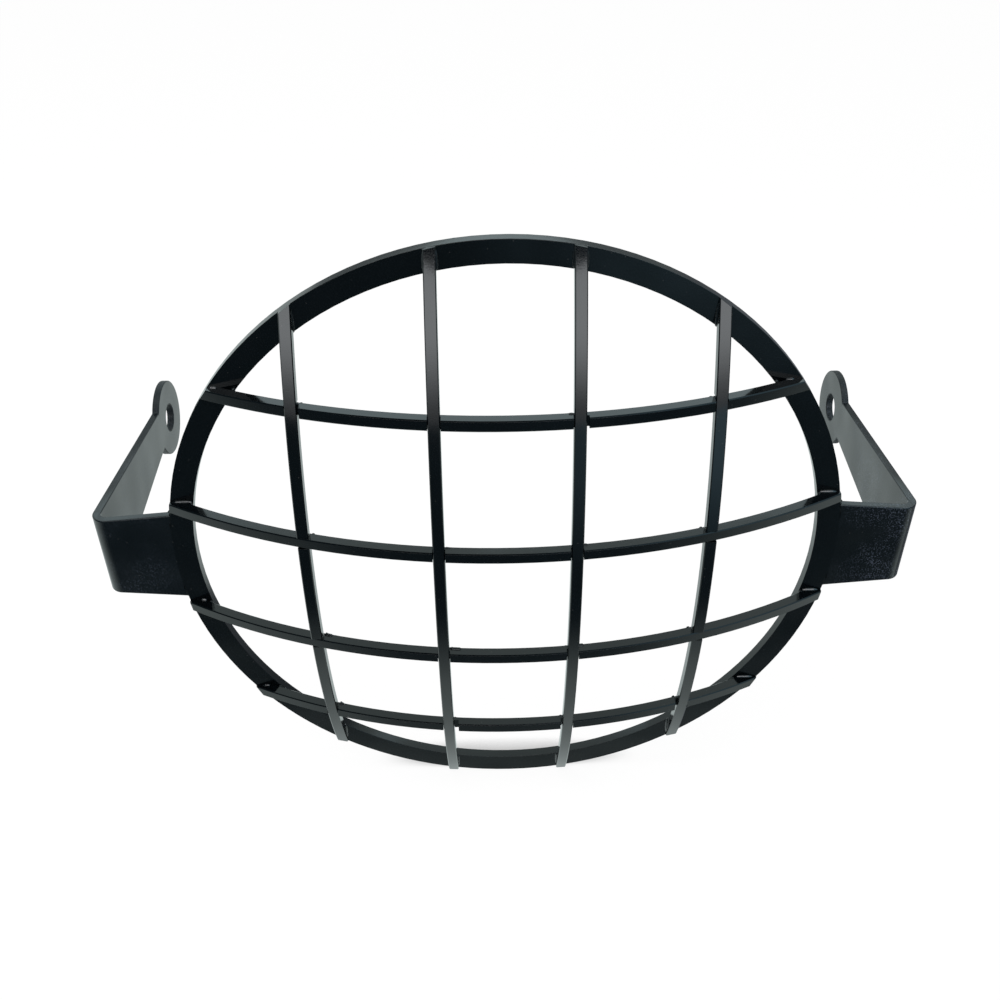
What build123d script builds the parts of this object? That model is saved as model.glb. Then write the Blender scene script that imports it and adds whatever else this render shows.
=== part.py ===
from build123d import *
import os
from math import sqrt

# Welded steel guard for a round motorcycle headlamp, in millimetres.
# X runs along the axis of the two ear bolts, +Y back towards the lamp and +Z up.
# The origin is the midpoint of the bolt axis between the two ears.

# Rim ring
rim_outer_radius = 90.0
rim_width = 6.0
rim_thickness = 2.8

# Domed grid of square bars
bar_width = 3.0
bar_depth = 3.0
bar_edge_break = 0.25  # small flat that breaks each long edge of a bar
bar_pitch = 34.2
bars_each_way = 4
dome_height = 25.0  # from the rim's front face to the front of the grid
tip_height = 1.0  # blunt end of a bar, above the rim's front face at its outer edge
lap_clearance = 0.1  # each side of a bar that passes through its neighbour's notch

# Folded plate brackets
plate_thickness = 2.2
inside_bend_radius = 2.0
flange_height_at_rim = 28.0
flange_height_at_bend = 25.0
arms_apart = 217.2  # between the two arms' inner faces
ear_reach = 74.5  # from the rim's front face back to the bolt axis
ear_drop = 1.4  # from the rim's centre down to the bolt axis
ear_radius = 12.0
bolt_hole_radius = 4.25
arm_width_at_bolt = 10.0  # where the arm's two edges cross the ear, level with the bolt axis

# Places that follow from the sizes above
rim_face_y = -ear_reach
rim_centre_z = ear_drop
rim_centre = Location((0, rim_face_y, rim_centre_z))
dome_rise = dome_height - tip_height
dome_radius = (rim_outer_radius**2 + dome_rise**2) / (2 * dome_rise)
dome_centre_y = rim_face_y - dome_height + dome_radius
dome_centre = Location((0, dome_centre_y, rim_centre_z))
lap_radius = dome_radius - bar_depth / 2
arm_outer_x = arms_apart / 2 + plate_thickness
outside_bend_radius = inside_bend_radius + plate_thickness
bend_start_x = arm_outer_x - outside_bend_radius
bend_end_y = rim_face_y + outside_bend_radius
bar_places = [bar_pitch * (i - (bars_each_way - 1) / 2) for i in range(bars_each_way)]


def rim_ring():
    """Flat ring, cut from plate, that stands upright and faces forward."""
    face = Circle(rim_outer_radius) - Circle(rim_outer_radius - rim_width)
    front = Plane(rim_centre.position, x_dir=(1, 0, 0), z_dir=(0, 1, 0))
    return extrude(front * face, amount=rim_thickness)


def bent_bar(place):
    """Upright square bar, bent to the dome, standing `place` to the side of the dome's centre."""
    bend_radius = sqrt(dome_radius**2 - place**2)
    square = Rectangle(bar_width, bar_depth)
    section = chamfer(square.vertices(), length=bar_edge_break)
    return revolve(Pos(place, bend_radius - bar_depth / 2) * section, axis=Axis.X)


def front_of_rim():
    """Space that the grid fills: ahead of the rim's front face and within its outer edge."""
    front = Plane(
        (0, rim_face_y - dome_centre_y, 0), x_dir=(1, 0, 0), z_dir=(0, -1, 0)
    )
    return extrude(front * Circle(rim_outer_radius), amount=dome_radius)


def upright_in_front(column, row):
    """True where the upright bar's front is unbroken, False where the level bar's is."""
    outer = (0, bars_each_way - 1)
    return row in outer or column not in outer


def lap_seat(place, crossing):
    """Plane at mid depth on which the two bars of a crossing sit, facing out of the dome."""
    front = -sqrt(dome_radius**2 - place**2 - crossing**2)
    outward = Vector(place, front, crossing)
    return Plane(outward * (lap_radius / dome_radius), z_dir=outward)


def notch(place, crossing, cut_behind):
    """Half-lap notch in the upright bar at `place` for the level bar at height `crossing`."""
    slot_height = bar_width + 2 * lap_clearance
    slot = Pos(place, 0, crossing) * Box(2 * bar_width, 4 * dome_radius, slot_height)
    reach = 4 * bar_width
    side = Align.MAX if cut_behind else Align.MIN
    half = Box(reach, reach, reach, align=(Align.CENTER, Align.CENTER, side))
    return slot & lap_seat(place, crossing) * half


def grid_bar(place, in_front):
    """Bent bar trimmed to the rim and notched at each crossing; `in_front` says which half stays."""
    bar = bent_bar(place) & front_of_rim()
    for crossing, stays_in_front in zip(bar_places, in_front):
        bar -= notch(place, crossing, cut_behind=stays_in_front)
    return bar


def upright_bar(column):
    """Bar that runs up and down, counted from the left."""
    bottom_to_top = reversed(range(bars_each_way))
    in_front = [upright_in_front(column, row) for row in bottom_to_top]
    return dome_centre * grid_bar(bar_places[column], in_front)


def level_bar(row):
    """Bar that runs from side to side, counted from the top."""
    in_front = [not upright_in_front(column, row) for column in range(bars_each_way)]
    return dome_centre * Rot(0, 90, 0) * grid_bar(bar_places[row], in_front)


def flange():
    """Front plate of a bracket, butted to the rim's outer edge with its face flush."""
    half_at_rim = flange_height_at_rim / 2
    half_at_bend = flange_height_at_bend / 2
    weld_x = sqrt(rim_outer_radius**2 - half_at_rim**2)
    outline = Polygon(
        (weld_x, -half_at_rim),
        (bend_start_x, -half_at_bend),
        (bend_start_x, half_at_bend),
        (weld_x, half_at_rim),
        align=None,
    )
    front = Plane(rim_centre.position, x_dir=(1, 0, 0), z_dir=(0, -1, 0))
    return extrude(
        front * (outline - Circle(rim_outer_radius)), amount=-plate_thickness
    )


def bend():
    """Quarter turn between a bracket's flange and its arm."""
    ring = Circle(outside_bend_radius) - Circle(inside_bend_radius)
    quarter = ring & Rectangle(
        outside_bend_radius, outside_bend_radius, align=(Align.MIN, Align.MAX)
    )
    low = Plane(
        (bend_start_x, bend_end_y, rim_centre_z - flange_height_at_bend / 2),
        x_dir=(1, 0, 0),
        z_dir=(0, 0, 1),
    )
    return extrude(low * quarter, amount=flange_height_at_bend)


def arm():
    """Tapered side plate that runs back from the bend to a round ear with its bolt hole."""
    half_at_bend = flange_height_at_bend / 2
    half_at_bolt = arm_width_at_bolt / 2
    taper = Polygon(
        (bend_end_y, rim_centre_z - half_at_bend),
        (0, rim_centre_z - half_at_bolt),
        (0, rim_centre_z + half_at_bolt),
        (bend_end_y, rim_centre_z + half_at_bend),
        align=None,
    )
    outline = taper + Circle(ear_radius) - Circle(bolt_hole_radius)
    inner_face = Plane((arms_apart / 2, 0, 0), x_dir=(0, 1, 0), z_dir=(1, 0, 0))
    return extrude(inner_face * outline, amount=plate_thickness)


def bracket_right():
    """One folded plate: flange, bend and arm."""
    return flange() + bend() + arm()


def all_parts():
    """Every piece by its node's name."""
    parts = {"rim_ring": rim_ring()}
    for i in range(bars_each_way):
        parts[f"bar_vertical_{i + 1}"] = upright_bar(i)
        parts[f"bar_horizontal_{i + 1}"] = level_bar(i)
    parts["bracket_right"] = bracket_right()
    parts["bracket_left"] = mirror(parts["bracket_right"], about=Plane.YZ)
    return parts


os.makedirs("parts", exist_ok=True)
for name, shape in all_parts().items():
    export_step(shape, f"parts/{name}.step")
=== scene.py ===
from math import asin, cos, pi, radians, sin, sqrt, tan
from random import Random

import bpy
from mathutils import Matrix, Vector

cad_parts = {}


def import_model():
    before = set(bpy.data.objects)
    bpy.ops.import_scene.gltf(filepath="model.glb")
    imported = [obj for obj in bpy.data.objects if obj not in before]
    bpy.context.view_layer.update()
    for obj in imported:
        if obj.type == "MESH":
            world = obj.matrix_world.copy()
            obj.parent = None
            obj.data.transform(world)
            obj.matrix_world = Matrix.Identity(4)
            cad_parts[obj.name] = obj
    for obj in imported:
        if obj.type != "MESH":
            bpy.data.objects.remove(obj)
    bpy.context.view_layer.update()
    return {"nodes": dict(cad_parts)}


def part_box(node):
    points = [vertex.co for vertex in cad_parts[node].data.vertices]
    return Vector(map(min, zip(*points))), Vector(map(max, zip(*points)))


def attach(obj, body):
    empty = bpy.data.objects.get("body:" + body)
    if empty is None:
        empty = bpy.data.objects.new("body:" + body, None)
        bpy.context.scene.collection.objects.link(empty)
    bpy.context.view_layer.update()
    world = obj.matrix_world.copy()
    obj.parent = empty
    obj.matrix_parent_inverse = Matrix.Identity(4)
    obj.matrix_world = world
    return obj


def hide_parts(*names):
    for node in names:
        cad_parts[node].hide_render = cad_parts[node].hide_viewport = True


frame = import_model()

# Headlamp guard of welded steel in satin black paint, in metres.
# The frame is the row's: X along the bolt axis, +Y back towards the lamp, +Z up.

MM = 0.001

# Places read from the frame
rim_low, rim_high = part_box("rim_ring")
rim_radius = (rim_high.x - rim_low.x) / 2
rim_front = rim_low.y
rim_centre = Vector((0, rim_front, (rim_low.z + rim_high.z) / 2))
rim_width = 6 * MM
rim_weld_margin = 0.3 * MM  # a fillet on a foot ends this far inside the rim's outer edge

level_boxes = [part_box(f"bar_horizontal_{i}") for i in range(1, 5)]
upright_boxes = [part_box(f"bar_vertical_{i}") for i in range(1, 5)]
bar_heights = [(low.z + high.z) / 2 for low, high in level_boxes]
bar_sides = [(low.x + high.x) / 2 for low, high in upright_boxes]
bar_width = level_boxes[0][1].z - level_boxes[0][0].z

flange_half_height = 14 * MM
flange_thickness = 2.2 * MM
hole_radius = 4.25 * MM
ear_radius = 12 * MM
dome_radius = 180.75 * MM
dome_height = 25 * MM
dome_centre = rim_centre + Vector((0, dome_radius - dome_height, 0))

# Sizes of what the paint and the welder leave
bracket_edge_radius = 0.3 * MM
rim_edge_radius = 0.1 * MM
bar_edge_radius = 0.02 * MM
merge_reach = 0.002 * MM
sliver_reach = 0.005 * MM
chance = Random(7)

# Gaps the maker left where a level bar passes an upright one: level bar, upright bar,
# side of the upright (-1 left, 1 right) and width
lap_gaps = [
    (1, 1, 1, 0.45 * MM),
    (1, 3, 1, 0.5 * MM),
    (4, 2, 1, 1.2 * MM),
    (4, 3, -1, 0.4 * MM),
    (4, 4, -1, 0.6 * MM),
]

# Lumps of weld that stand up behind the top of a level bar beside an upright one: level bar,
# upright bar, side of the upright, length and height
top_lumps = [
    (1, 3, -1, 1.2 * MM, 0.35 * MM),
    (2, 2, 1, 1.3 * MM, 0.3 * MM),
    (2, 3, 1, 1.4 * MM, 0.4 * MM),
    (3, 1, 1, 2.2 * MM, 0.5 * MM),
    (3, 2, 1, 3.0 * MM, 0.65 * MM),
    (3, 3, 1, 1.8 * MM, 0.5 * MM),
    (4, 1, 1, 1.3 * MM, 0.45 * MM),
]

# Where the weld above a level bar runs over the rim's front face, as shares of the rim's width
# from its outer edge: level bar and side (-1 left, 1 right)
upper_fillets = {
    (1, -1): (0.05, 0.38),
    (2, -1): (0.0, 1.0),
    (3, -1): (0.4, 0.72),
    (4, -1): (0.15, 0.48),
    (1, 1): (0.28, 0.64),
    (2, 1): (0.05, 0.95),
    (3, 1): (0.0, 0.87),
    (4, 1): (0.0, 0.78),
}

# Studio
# The guard was photographed leaning back on its ears over a white sheet, so the studio's
# upright direction is tilted forward in the guard's own frame.
sheet_lean = radians(45)
studio_up = Vector((0, -cos(sheet_lean), sin(sheet_lean)))
studio_reach = 1.5

# Camera
lens = 39.0
aim = Vector((-1.623, -74.5, 18.921)) * MM
camera_distance = 285.128 * MM
camera_elevation = radians(36.299)
camera_azimuth = radians(-0.767)
camera_roll = radians(-0.486)


def deselect_all():
    """Leaves nothing selected and no object in edit mode."""
    if bpy.context.object and bpy.context.object.mode != "OBJECT":
        bpy.ops.object.mode_set(mode="OBJECT")
    bpy.ops.object.select_all(action="DESELECT")


def make_active(piece):
    """Selects one object alone and makes it the active one."""
    deselect_all()
    piece.select_set(True)
    bpy.context.view_layer.objects.active = piece


def keep(piece, finish):
    """Gives a finished piece its paint and fixes it to the guard."""
    piece.data.materials.clear()
    piece.data.materials.append(finish)
    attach(piece, "root")


# Materials


def feed(links, socket, value):
    """Sets a shader socket to a number or colour, or links another socket to it."""
    if isinstance(value, (int, float, tuple)):
        socket.default_value = value
    else:
        links.new(value, socket)


def noise(nodes, links, place, scale, detail):
    """Noise texture at a place; its scale is a number or a group socket."""
    texture = nodes.new("ShaderNodeTexNoise")
    texture.inputs["Detail"].default_value = detail
    links.new(place, texture.inputs["Vector"])
    feed(links, texture.inputs["Scale"], scale)
    return texture.outputs["Fac"]


def mapped(nodes, links, value, low, high, to_low, to_high, fade="SMOOTHSTEP"):
    """Value taken from one range to another and held at its ends."""
    fit = nodes.new("ShaderNodeMapRange")
    fit.interpolation_type = fade
    feed(links, fit.inputs["Value"], value)
    fit.inputs["From Min"].default_value = low
    fit.inputs["From Max"].default_value = high
    fit.inputs["To Min"].default_value = to_low
    fit.inputs["To Max"].default_value = to_high
    return fit.outputs["Result"]


def arithmetic(nodes, links, operation, *values):
    """Result of one Math node on sockets and numbers."""
    step = nodes.new("ShaderNodeMath")
    step.operation = operation
    for socket, value in zip(step.inputs, values):
        feed(links, socket, value)
    return step.outputs["Value"]


def mixed_colour(nodes, links, share, first, second):
    """Colour that goes from the first to the second by a share."""
    mix = nodes.new("ShaderNodeMix")
    mix.data_type = "RGBA"
    feed(links, mix.inputs["Factor"], share)
    feed(links, mix.inputs["A"], first)
    feed(links, mix.inputs["B"], second)
    return mix.outputs["Result"]


def own_place(nodes, links):
    """A piece's own coordinates: all three together, then X, Y and Z."""
    place = nodes.new("ShaderNodeTexCoord").outputs["Object"]
    split = nodes.new("ShaderNodeSeparateXYZ")
    links.new(place, split.inputs["Vector"])
    return place, split.outputs["X"], split.outputs["Y"], split.outputs["Z"]


def blank_material(name):
    """New material with no nodes in it yet, and its nodes and links."""
    material = bpy.data.materials.new(name)
    material.use_nodes = True
    material.node_tree.nodes.clear()
    return material, material.node_tree.nodes, material.node_tree.links


def sprayed_texture_group():
    """Shader group: the plate's waves, the paint's peel and grain, dust, patches and cut edges."""
    wave_scale = 48
    patch_scale = 70
    dust_scale = 420
    fleck_scale = 2600
    spray_edge = 88 * MM  # dry spray lies outside this distance from the middle
    arm_end = -10.2 * MM  # the ear's round edge leaves the arm's straight one here
    group = bpy.data.node_groups.new("sprayed_paint_texture", "ShaderNodeTree")
    face = group.interface
    depths = ("Wave Depth", "Peel Depth", "Grain Depth")
    for name in (*depths, "Peel Scale", "Grain Scale", "Dry Spray"):
        face.new_socket(name, in_out="INPUT", socket_type="NodeSocketFloat")
    for name in ("Height", "Dust", "Patches", "Specks", "Cut Edge"):
        face.new_socket(name, in_out="OUTPUT", socket_type="NodeSocketFloat")
    nodes, links = group.nodes, group.links
    entry = nodes.new("NodeGroupInput").outputs
    result = nodes.new("NodeGroupOutput").inputs
    place, x, y, _ = own_place(nodes, links)

    waves = noise(nodes, links, place, wave_scale, 1)
    peel = noise(nodes, links, place, entry["Peel Scale"], 2)
    grain = noise(nodes, links, place, entry["Grain Scale"], 1)
    height = 0
    for layer, depth in zip((waves, peel, grain), depths):
        height = arithmetic(nodes, links, "MULTIPLY_ADD", layer, entry[depth], height)
    links.new(height, result["Height"])

    specks = nodes.new("ShaderNodeTexVoronoi")
    specks.inputs["Scale"].default_value = dust_scale
    links.new(place, specks.inputs["Vector"])
    dust = mapped(nodes, links, specks.outputs["Distance"], 0.09, 0.03, 0, 1, "LINEAR")
    links.new(dust, result["Dust"])

    patches = noise(nodes, links, place, patch_scale, 4)
    links.new(patches, result["Patches"])
    dry = mapped(nodes, links, patches, 0.4, 0.58, 0, 1, "LINEAR")
    fine = noise(nodes, links, place, fleck_scale, 1)
    fleck = mapped(nodes, links, fine, 0.52, 0.72, 0, 1, "LINEAR")
    scatter = arithmetic(nodes, links, "MULTIPLY", dry, fleck)
    aside = arithmetic(nodes, links, "ABSOLUTE", x)
    outward = mapped(nodes, links, aside, spray_edge, spray_edge + 10 * MM, 0, 1)
    spread = arithmetic(nodes, links, "MULTIPLY", scatter, outward)
    amount = arithmetic(nodes, links, "MULTIPLY", spread, entry["Dry Spray"])
    links.new(amount, result["Specks"])

    from_bolt = nodes.new("ShaderNodeVectorMath")
    from_bolt.operation = "MULTIPLY"
    from_bolt.inputs[1].default_value = (0, 1, 1)
    links.new(place, from_bolt.inputs[0])
    length = nodes.new("ShaderNodeVectorMath")
    length.operation = "LENGTH"
    links.new(from_bolt.outputs["Vector"], length.inputs[0])
    radius = length.outputs["Value"]
    past_edge = hole_radius + bracket_edge_radius
    hole = mapped(nodes, links, radius, past_edge + 0.05 * MM, past_edge + 0.25 * MM, 1, 0)
    past_face = mapped(nodes, links, radius, ear_radius - 0.3 * MM, ear_radius - 0.1 * MM, 0, 1)
    off_arm = mapped(nodes, links, y, arm_end, arm_end + 0.3 * MM, 0, 1)
    cut_edge = arithmetic(nodes, links, "MULTIPLY_ADD", past_face, off_arm, hole)
    links.new(cut_edge, result["Cut Edge"])
    return group


def satin_paint(
    name, texture, roughness, wave_depth, peel, grain, dry_spray=0.0, haze=1.0, gloss=0.0
):
    """Satin black paint over steel; peel and grain are each a depth in metres and a scale."""
    dark = (0.0008, 0.0016, 0.0023, 1)
    light = (0.0017 * haze, 0.0027 * haze, 0.0038 * haze, 1)
    dust = (0.03, 0.03, 0.03, 1)
    dry_fleck = (0.075, 0.09, 0.125, 1)
    patch_swing = 0.04
    cut_edge_rise = 0.3

    material = bpy.data.materials.new(name)
    material.use_nodes = True
    nodes, links = material.node_tree.nodes, material.node_tree.links
    shader = nodes["Principled BSDF"]
    shader.inputs["IOR"].default_value = 1.5
    shader.inputs["Specular Tint"].default_value = (0.93, 1.0, 1.0, 1)
    shader.inputs["Coat Weight"].default_value = gloss
    shader.inputs["Coat Roughness"].default_value = 0.07

    sprayed = nodes.new("ShaderNodeGroup")
    sprayed.node_tree = texture
    sprayed.inputs["Wave Depth"].default_value = wave_depth
    sprayed.inputs["Peel Depth"].default_value = peel[0]
    sprayed.inputs["Peel Scale"].default_value = peel[1]
    sprayed.inputs["Grain Depth"].default_value = grain[0]
    sprayed.inputs["Grain Scale"].default_value = grain[1]
    sprayed.inputs["Dry Spray"].default_value = dry_spray
    given = sprayed.outputs

    tone = mixed_colour(nodes, links, given["Patches"], dark, light)
    dusty = mixed_colour(nodes, links, given["Dust"], tone, dust)
    flecked = mixed_colour(nodes, links, given["Specks"], dusty, dry_fleck)
    links.new(flecked, shader.inputs["Base Color"])

    least, most = roughness - patch_swing, roughness + patch_swing
    dull = mapped(nodes, links, given["Patches"], 0, 1, least, most, "LINEAR")
    rough = arithmetic(nodes, links, "MULTIPLY_ADD", given["Cut Edge"], cut_edge_rise, dull)
    links.new(rough, shader.inputs["Roughness"])

    bump = nodes.new("ShaderNodeBump")
    bump.inputs["Distance"].default_value = 1
    links.new(given["Height"], bump.inputs["Height"])
    links.new(bump.outputs["Normal"], shader.inputs["Normal"])
    return material


# Painted plates and bars


def on_butt_joint(point):
    """True on the line where a flange meets the rim's outer edge."""
    from_centre = Vector((point.x, 0, point.z)) - Vector((0, 0, rim_centre.z))
    play = 0.05 * MM
    at_edge = abs(from_centre.length - rim_radius) < play
    return at_edge and abs(from_centre.z) < flange_half_height - 2 * play


def crossing(row, column):
    """Point on the front of the dome where a level and an upright bar cross, and its normal."""
    across = bar_sides[column - 1]
    height = bar_heights[row - 1] - rim_centre.z
    ahead = sqrt(dome_radius**2 - across**2 - height**2)
    outward = Vector((across, -ahead, height)) / dome_radius
    return dome_centre + outward * dome_radius, outward


def cut_lap_gap(piece, row, column, side, width):
    """Cuts the front half of a level bar back from the side of the upright bar it passes."""
    point, _ = crossing(row, column)
    middle = point.x + side * (bar_width + width) / 2
    overlap = 0.2 * MM
    deselect_all()
    bpy.ops.mesh.primitive_cube_add(
        size=1,
        location=(middle, point.y, point.z),
        scale=(width + overlap, bar_width, 3 * bar_width),
    )
    block = bpy.context.object
    make_active(piece)
    bpy.ops.object.modifier_add(type="BOOLEAN")
    cut = piece.modifiers[-1]
    cut.object = block
    cut.operation = "DIFFERENCE"
    bpy.ops.object.modifier_apply(modifier=cut.name)
    bpy.data.objects.remove(block)


def painted(node_name, edge_radius, finish, gaps=()):
    """Copy of a node with its facets merged and its open edges rounded as the paint leaves them."""
    flat_enough = radians(0.3)
    sharp_before, sharp_after = radians(30), radians(40)
    node = frame["nodes"][node_name]
    piece = bpy.data.objects.new("painted_" + node_name, node.data.copy())
    bpy.context.scene.collection.objects.link(piece)
    make_active(piece)
    bpy.ops.mesh.customdata_custom_splitnormals_clear()
    bpy.ops.object.shade_smooth()
    bpy.ops.object.mode_set(mode="EDIT")
    bpy.ops.mesh.select_all(action="SELECT")
    bpy.ops.mesh.remove_doubles(threshold=merge_reach)
    bpy.ops.mesh.dissolve_limited(angle_limit=flat_enough)
    bpy.ops.mesh.select_mode(type="EDGE")
    bpy.ops.mesh.select_all(action="DESELECT")
    bpy.ops.mesh.edges_select_sharp(sharpness=sharp_before)
    bpy.ops.object.mode_set(mode="OBJECT")
    for edge in piece.data.edges:
        if all(on_butt_joint(piece.data.vertices[i].co) for i in edge.vertices):
            edge.select = False
    bpy.ops.object.mode_set(mode="EDIT")
    bpy.ops.mesh.bevel(offset=edge_radius, segments=3, affect="EDGES")
    bpy.ops.object.mode_set(mode="OBJECT")
    for gap in gaps:
        cut_lap_gap(piece, *gap)
    bpy.ops.object.mode_set(mode="EDIT")
    if gaps:
        bpy.ops.mesh.select_all(action="SELECT")
        bpy.ops.mesh.remove_doubles(threshold=sliver_reach)
    bpy.ops.mesh.select_all(action="DESELECT")
    bpy.ops.mesh.edges_select_sharp(sharpness=sharp_after)
    bpy.ops.mesh.mark_sharp()
    bpy.ops.object.mode_set(mode="OBJECT")
    bpy.ops.object.modifier_add(type="WEIGHTED_NORMAL")
    piece.modifiers[-1].keep_sharp = True
    bpy.ops.object.modifier_apply(modifier=piece.modifiers[-1].name)
    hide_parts(node_name)
    keep(piece, finish)


# Weld beads


def bead_master(name, ripples, waist, tip):
    """Short run of weld along +X, one unit long and one in radius, that swells at each ripple."""
    start = 0.45
    deselect_all()
    bpy.ops.mesh.primitive_circle_add(
        vertices=12, radius=start, fill_type="NGON", rotation=(0, pi / 2, 0)
    )
    bead = bpy.context.object
    bead.name = name
    bpy.ops.object.transform_apply(location=True, rotation=True, scale=True)
    bpy.ops.object.mode_set(mode="EDIT")
    bpy.ops.mesh.select_all(action="SELECT")
    step = 1 / (2 * ripples + 2)
    widths = [0.85] + [1.0, waist] * ripples + [tip]
    now = start
    for i, width in enumerate(widths, start=1):
        bpy.ops.mesh.extrude_region_move(TRANSFORM_OT_translate={"value": (step, 0, 0)})
        bpy.ops.transform.resize(
            value=(1, width / now, width / now), center_override=(i * step, 0, 0)
        )
        now = width
    bpy.ops.mesh.select_all(action="SELECT")
    bpy.ops.mesh.normals_make_consistent(inside=False)
    bpy.ops.object.mode_set(mode="OBJECT")
    bpy.ops.object.shade_smooth()
    bpy.ops.object.modifier_add(type="SUBSURF")
    bead.modifiers[-1].levels = 1
    bead.modifiers[-1].render_levels = 1
    bpy.ops.object.modifier_apply(modifier=bead.modifiers[-1].name)
    return bead


def lay_bead(master, start, end, outward, half_width, height):
    """Copy of the bead from one point to another, its crown facing outward, never quite alike."""
    bead = master.copy()
    bead.data = master.data.copy()
    bpy.context.scene.collection.objects.link(bead)
    along = (end - start).normalized()
    crown = (outward - outward.dot(along) * along).normalized()
    axes = Matrix((along, crown.cross(along), crown)).transposed().to_4x4()
    turn = Matrix.Rotation(chance.uniform(-0.15, 0.15), 4, "X")
    swell = chance.uniform(0.85, 1.15)
    scale = Matrix.Diagonal(((end - start).length, half_width * swell, height * swell, 1))
    bead.matrix_world = Matrix.Translation(start) @ axes @ turn @ scale
    return bead


def weld(name, master, runs, finish):
    """One piece out of many beads; each run is its ends, its outward side, width and height."""
    lump_size = 0.9 * MM
    lump_depth = 0.14 * MM
    beads = [lay_bead(master, *run) for run in runs]
    deselect_all()
    for bead in beads:
        bead.select_set(True)
    bpy.context.view_layer.objects.active = beads[0]
    bpy.ops.object.transform_apply(location=True, rotation=True, scale=True)
    bpy.ops.object.join()
    piece = bpy.context.object
    piece.name = name
    bpy.ops.object.modifier_add(type="DISPLACE")
    lumps = piece.modifiers[-1]
    lumps.texture = bpy.data.textures.new("weld_lumps", "CLOUDS")
    lumps.texture.noise_scale = lump_size
    lumps.texture_coords = "LOCAL"
    lumps.strength = lump_depth
    bpy.ops.object.modifier_apply(modifier=lumps.name)
    keep(piece, finish)


def rim_point(side, upright, across, radius):
    """Point on the rim's front face at that radius, on the foot of an upright or a level bar."""
    reach = side * sqrt(radius**2 - across**2)
    return rim_centre + (Vector((across, 0, reach)) if upright else Vector((reach, 0, across)))


def bar_feet():
    """Every foot of a bar on the rim: side, level bar's number or 0 for an upright, and place."""
    for side in (-1, 1):
        for x in bar_sides:
            yield side, 0, x
        for row, z in enumerate(bar_heights, start=1):
            yield side, row, z - rim_centre.z


def foot_runs():
    """Fillets along both sides of each foot, over the width of the rim's front face."""
    runs = []
    inner = rim_radius - rim_width
    outer = rim_radius - rim_weld_margin
    ahead = Vector((0, -1, 0))
    for side, row, place in bar_feet():
        half_width, height = (1.2 * MM, 0.5 * MM) if row else (1.1 * MM, 0.4 * MM)
        shown = half_width * 0.45
        for edge in (-1, 1):
            across = place + edge * (bar_width / 2 + shown - half_width)
            shares = upper_fillets[row, side] if row and edge == 1 else (0, 1)
            radii = [outer + (inner - outer) * share for share in shares]
            ends = [rim_point(side, not row, across, radius) for radius in radii]
            runs.append((*ends, ahead, half_width, height))
    return runs


def underside_runs():
    """Short beads across the back of each bar where it leaves the rim's inner edge."""
    runs = []
    radius = rim_radius - rim_width + 0.5 * MM
    lift = Vector((0, -0.25 * MM, 0))
    size = 0.55 * MM
    for side, row, place in bar_feet():
        ends = [lift + rim_point(side, not row, place + e * bar_width / 2, radius) for e in (-1, 1)]
        runs.append((*ends, Vector((0, -1, 0)), size, size))
    return runs


def bracket_runs(side):
    """Ripples of weld behind the joint of a flange and the rim, with a dab at each end of it."""
    runs = []
    steps = 6
    reach = asin(flange_half_height / rim_radius)
    ripple_width, ripple_height = 1.3 * MM, 0.8 * MM
    dab = 0.5 * MM

    def joint_point(angle, behind, radius=rim_radius):
        return rim_centre + Vector((side * radius * cos(angle), behind, radius * sin(angle)))

    angles = [reach * (2 * i / steps - 1) for i in range(steps + 1)]
    points = [joint_point(angle, flange_thickness) for angle in angles]
    for start, end in zip(points, points[1:]):
        overlap = (end - start) * 0.12
        run = (start - overlap, end + overlap, Vector((0, 1, 0)), ripple_width, ripple_height)
        runs.append(run)
    for angle in (-reach, reach):
        behinds = (0.4 * MM, flange_thickness)
        ends = [joint_point(angle, behind, rim_radius + 0.1 * MM) for behind in behinds]
        runs.append((*ends, Vector((0, 0, angle)), dab, dab))
    return runs


def crossing_runs():
    """Tacks behind each crossing, on both sides of the upright bar, and the lumps over them."""
    runs = []
    tack_width, tack_height = 0.6 * MM, 0.3 * MM
    sink = 0.1 * MM
    for row in range(1, 5):
        for column in range(1, 5):
            point, outward = crossing(row, column)
            level_out = Vector((outward.x, outward.y, 0)).normalized()
            back = point - level_out * bar_width
            for edge in (-1, 1):
                middle = back + Vector((edge * bar_width / 2, 0, 0))
                half = Vector((0, 0, bar_width * 0.4))
                runs.append((middle - half, middle + half, -level_out, tack_width, tack_height))
    for row, column, side, length, height in top_lumps:
        point, outward = crossing(row, column)
        level_out = Vector((outward.x, outward.y, 0)).normalized()
        along = Vector((-level_out.y, level_out.x, 0)) * side
        start = point - level_out * bar_width * 0.8 + along * bar_width * 0.45
        start += Vector((0, 0, bar_width / 2 - sink))
        runs.append((start, start + along * length, Vector((0, 0, 1)), tack_width, height))
    return runs


# Studio pieces


def card_light(name, colour, strength):
    """Plain light of one colour, for a studio card."""
    material, nodes, links = blank_material(name)
    light = nodes.new("ShaderNodeEmission")
    light.inputs["Color"].default_value = (*colour, 1)
    light.inputs["Strength"].default_value = strength
    out = nodes.new("ShaderNodeOutputMaterial")
    links.new(light.outputs["Emission"], out.inputs["Surface"])
    return material


def window_light():
    """Light of the near window, which fades towards its lower edge."""
    material = card_light("window_light", (1.02, 0.99, 1.02), 1)
    nodes, links = material.node_tree.nodes, material.node_tree.links
    _, _, upward, _ = own_place(nodes, links)
    strength = mapped(nodes, links, upward, -0.95, 0.25, 0.7, 3.9)
    links.new(strength, nodes["Emission"].inputs["Strength"])
    return material


def seen_only_in_gloss(card):
    """A studio card that the paint mirrors and that neither lights nor hides anything."""
    card.visible_camera = False
    card.visible_diffuse = False
    card.visible_transmission = False
    card.visible_volume_scatter = False
    card.visible_shadow = False


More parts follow.
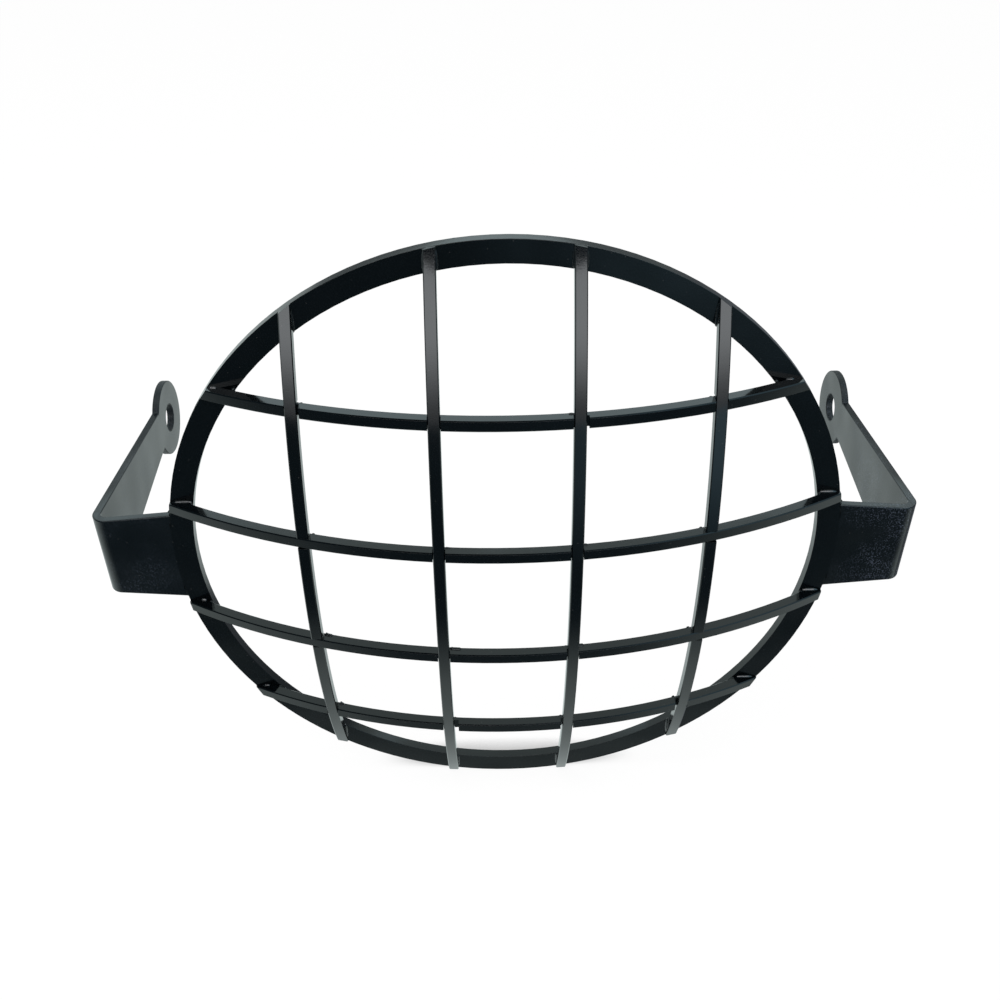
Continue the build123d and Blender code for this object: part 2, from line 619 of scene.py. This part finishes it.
def turn_to(card, direction):
    """Points a card's own Z along a direction."""
    card.rotation_mode = "QUATERNION"
    card.rotation_quaternion = direction.to_track_quat("Z", "Y")


def dim_room():
    """Dome over the sheet: the dim room that mirrors in the faces turned away from the sheet."""
    deselect_all()
    bpy.ops.mesh.primitive_uv_sphere_add(segments=64, ring_count=48, radius=1)
    room = bpy.context.object
    room.name = "studio_dim_room"
    room.scale = (studio_reach,) * 3
    material, nodes, links = blank_material("dim_room")
    _, to_right, to_far, height = own_place(nodes, links)

    # The wall begins where the sheet ends: higher on the far side and a little at both sides
    horizon = mapped(nodes, links, to_far, -0.5, 0.7, 0.0, 0.36)
    sideways = arithmetic(nodes, links, "ABSOLUTE", to_right)
    sides = mapped(nodes, links, sideways, 0.25, 0.55, 0, 0.07)
    lift = arithmetic(nodes, links, "ADD", horizon, sides)
    above = arithmetic(nodes, links, "SUBTRACT", height, lift)
    fade = mapped(nodes, links, above, -0.31, 0.1, 0, 1)

    # It is dark to the left, brightens with height to the right, and ends in a dark ceiling
    dark_wall = 0.085
    wall = nodes.new("ShaderNodeEmission")
    wall.inputs["Color"].default_value = (0.68, 1.0, 1.2, 1)
    level = nodes.new("ShaderNodeMix")
    level.inputs["A"].default_value = dark_wall
    links.new(mapped(nodes, links, to_right, -0.05, 0.25, 0, 1), level.inputs["Factor"])
    links.new(mapped(nodes, links, height, 0.22, 0.68, 0.1, 0.8), level.inputs["B"])
    ceiling = mapped(nodes, links, height, 0.85, 0.97, 1, 0.2)
    glow = arithmetic(nodes, links, "MULTIPLY", level.outputs["Result"], ceiling)
    links.new(glow, wall.inputs["Strength"])
    clear = nodes.new("ShaderNodeBsdfTransparent")
    mix = nodes.new("ShaderNodeMixShader")
    out = nodes.new("ShaderNodeOutputMaterial")
    links.new(fade, mix.inputs["Fac"])
    links.new(clear.outputs["BSDF"], mix.inputs[1])
    links.new(wall.outputs["Emission"], mix.inputs[2])
    links.new(mix.outputs["Shader"], out.inputs["Surface"])
    room.data.materials.append(material)
    turn_to(room, studio_up)
    seen_only_in_gloss(room)


def hang_card(name, height, half_width, half_tall, light):
    """Card that faces the guard from a height over the studio's near horizon, past 90 the far."""
    deselect_all()
    bpy.ops.mesh.primitive_circle_add(vertices=64, radius=1, fill_type="NGON")
    card = bpy.context.object
    card.name = name
    distance = studio_reach * 0.6
    far = Vector((0, sin(sheet_lean), cos(sheet_lean)))
    card.location = (studio_up * sin(height) - far * cos(height)) * distance
    turn_to(card, card.location)
    card.scale = (distance * tan(half_width), distance * tan(half_tall), 1)
    card.data.materials.append(light)
    seen_only_in_gloss(card)


def right_flag():
    """Dark card beyond the right bracket: a painted shade for the shaded sheet there, which the
    bend mirrors and which keeps it from flaring.
    """
    deselect_all()
    bpy.ops.mesh.primitive_plane_add(size=1, location=(0.3, 0.25, -0.3), rotation=(0, pi / 2, 0))
    flag = bpy.context.object
    flag.name = "studio_right_shade_card"
    flag.scale = (0.9, 0.68, 1)
    flag.data.materials.append(card_light("painted_shade_card", (0.9, 1.0, 1.1), 0.22))
    seen_only_in_gloss(flag)


def floor():
    """White floor under the guard, with a faint soft shadow."""
    contact_reach = 11 * MM
    deepest = 3.8  # power of the contact shade where it is full
    glow_strength = 1.05
    glow_share = 0.88
    deselect_all()
    bpy.ops.mesh.primitive_plane_add(size=12, location=(0, 0, rim_low.z - 0.1 * MM))
    sheet = bpy.context.object
    sheet.name = "studio_floor"
    material, nodes, links = blank_material("white_floor")
    paper = nodes.new("ShaderNodeBsdfDiffuse")
    paper.inputs["Color"].default_value = (0.9, 0.9, 0.9, 1)
    contact = nodes.new("ShaderNodeAmbientOcclusion")
    contact.inputs["Distance"].default_value = contact_reach
    _, x, y, _ = own_place(nodes, links)
    behind = mapped(nodes, links, y, rim_front + 1 * MM, rim_front + 6 * MM, 0, deepest)
    aside = arithmetic(nodes, links, "ABSOLUTE", x)
    near_middle = mapped(nodes, links, aside, 16 * MM, 46 * MM, 1, 0)
    touching = arithmetic(nodes, links, "MULTIPLY", behind, near_middle)
    shade = arithmetic(nodes, links, "POWER", contact.outputs["AO"], touching)
    glow = nodes.new("ShaderNodeEmission")
    glow.inputs["Strength"].default_value = glow_strength
    links.new(shade, glow.inputs["Color"])
    ray = nodes.new("ShaderNodeLightPath")
    share = arithmetic(nodes, links, "MULTIPLY", ray.outputs["Is Camera Ray"], glow_share)
    mix = nodes.new("ShaderNodeMixShader")
    out = nodes.new("ShaderNodeOutputMaterial")
    links.new(share, mix.inputs["Fac"])
    links.new(paper.outputs["BSDF"], mix.inputs[1])
    links.new(glow.outputs["Emission"], mix.inputs[2])
    links.new(mix.outputs["Shader"], out.inputs["Surface"])
    sheet.data.materials.append(material)
    sheet.visible_glossy = False


def world():
    """White to the camera, a bluish white sheet to the gloss and a soft fill elsewhere."""
    sky = bpy.data.worlds.new("studio_world")
    bpy.context.scene.world = sky
    sky.use_nodes = True
    nodes, links = sky.node_tree.nodes, sky.node_tree.links
    nodes.clear()
    soft_fill = (0.48, 0.48, 0.48, 1)
    mirrored_sheet = (0.72, 0.81, 0.8, 1)
    white = (1, 1, 1, 1)
    ray = nodes.new("ShaderNodeLightPath").outputs
    seen = arithmetic(nodes, links, "MAXIMUM", ray["Is Camera Ray"], ray["Is Transmission Ray"])
    unseen = mixed_colour(nodes, links, ray["Is Glossy Ray"], soft_fill, mirrored_sheet)
    back = nodes.new("ShaderNodeBackground")
    links.new(mixed_colour(nodes, links, seen, unseen, white), back.inputs["Color"])
    out = nodes.new("ShaderNodeOutputWorld")
    links.new(back.outputs["Background"], out.inputs["Surface"])


def key_light():
    """Large soft lamp above, which gives the floor its faint shadow."""
    data = bpy.data.lights.new("key", "AREA")
    data.shape = "DISK"
    data.size = 0.9
    data.energy = 9
    lamp = bpy.data.objects.new("key", data)
    bpy.context.scene.collection.objects.link(lamp)
    lamp.location = (-0.3, -0.5, 1.1)
    lamp.rotation_mode = "QUATERNION"
    lamp.rotation_quaternion = (-lamp.location).to_track_quat("-Z", "Y")
    lamp.visible_glossy = False


def camera():
    """Camera at the photograph's place."""
    data = bpy.data.cameras.new("camera")
    data.sensor_width = 36
    data.lens = lens
    data.clip_start = 0.01
    data.clip_end = 50
    view = bpy.data.objects.new("camera", data)
    bpy.context.scene.collection.objects.link(view)
    back = Vector((
        sin(camera_azimuth) * cos(camera_elevation),
        -cos(camera_azimuth) * cos(camera_elevation),
        sin(camera_elevation),
    ))
    right = (-back).cross(Vector((0, 0, 1))).normalized()
    up = right.cross(-back)
    turned_right = cos(camera_roll) * right + sin(camera_roll) * up
    turned_up = -sin(camera_roll) * right + cos(camera_roll) * up
    axes = Matrix((turned_right, turned_up, back)).transposed()
    view.matrix_world = Matrix.Translation(aim + back * camera_distance) @ axes.to_4x4()
    bpy.context.scene.camera = view


deselect_all()
camera()
world()
floor()
dim_room()
hang_card(
    "studio_window",
    height=radians(64),
    half_width=radians(31),
    half_tall=radians(15),
    light=window_light(),
)
hang_card(
    "studio_far_wall",
    height=radians(189.6),
    half_width=radians(38),
    half_tall=radians(6.8),
    light=card_light("far_wall_light", (0.84, 1.0, 1.04), strength=1.5),
)
hang_card(
    "studio_far_sheet",
    height=radians(207),
    half_width=radians(38),
    half_tall=radians(9),
    light=card_light("far_sheet_light", (0.88, 1.0, 1.02), strength=0.3),
)
hang_card(
    "studio_overhead",
    height=radians(126),
    half_width=radians(40),
    half_tall=radians(14),
    light=card_light("overhead_light", (0.97, 1.0, 1.0), strength=1.7),
)
right_flag()
key_light()
bpy.context.scene.view_settings.view_transform = "Standard"

texture = sprayed_texture_group()
rim_paint = satin_paint(
    "satin_black_rim",
    texture,
    roughness=0.14,
    wave_depth=0.4 * MM,
    peel=(0.003 * MM, 800),
    grain=(0.006 * MM, 2400),
)
left_paint = satin_paint(
    "satin_black_bracket_left",
    texture,
    roughness=0.17,
    wave_depth=0.8 * MM,
    peel=(0.004 * MM, 700),
    grain=(0.006 * MM, 2400),
    dry_spray=0.25,
    haze=3.0,
)
right_paint = satin_paint(
    "satin_black_bracket_right",
    texture,
    roughness=0.17,
    wave_depth=0.8 * MM,
    peel=(0.005 * MM, 700),
    grain=(0.008 * MM, 2200),
    dry_spray=0.75,
    haze=1.6,
)
bar_paint = satin_paint(
    "satin_black_bar",
    texture,
    roughness=0.11,
    wave_depth=0.1 * MM,
    peel=(0.003 * MM, 700),
    grain=(0.003 * MM, 2600),
)
weld_paint = satin_paint(
    "satin_black_weld",
    texture,
    roughness=0.24,
    wave_depth=0.0,
    peel=(0.008 * MM, 1500),
    grain=(0.001 * MM, 3000),
)
fillet_paint = satin_paint(
    "pooled_black_fillet",
    texture,
    roughness=0.18,
    wave_depth=0.0,
    peel=(0.002 * MM, 900),
    grain=(0.001 * MM, 3000),
    gloss=1.0,
)

painted("rim_ring", rim_edge_radius, rim_paint)
painted("bracket_left", bracket_edge_radius, left_paint)
painted("bracket_right", bracket_edge_radius, right_paint)
for i in range(1, 5):
    painted(f"bar_vertical_{i}", bar_edge_radius, bar_paint)
    gaps = [gap for gap in lap_gaps if gap[0] == i]
    painted(f"bar_horizontal_{i}", bar_edge_radius, bar_paint, gaps)

fillet = bead_master("smooth_fillet", ripples=2, waist=0.97, tip=0.8)
ripple = bead_master("rippled_bead", ripples=4, waist=0.82, tip=0.45)
weld("weld_feet", fillet, foot_runs(), fillet_paint)
weld("weld_foot_backs", ripple, underside_runs(), weld_paint)
weld("weld_crossings", ripple, crossing_runs(), weld_paint)
weld("weld_bracket_left", ripple, bracket_runs(-1), weld_paint)
weld("weld_bracket_right", ripple, bracket_runs(1), weld_paint)
bpy.data.objects.remove(fillet)
bpy.data.objects.remove(ripple)
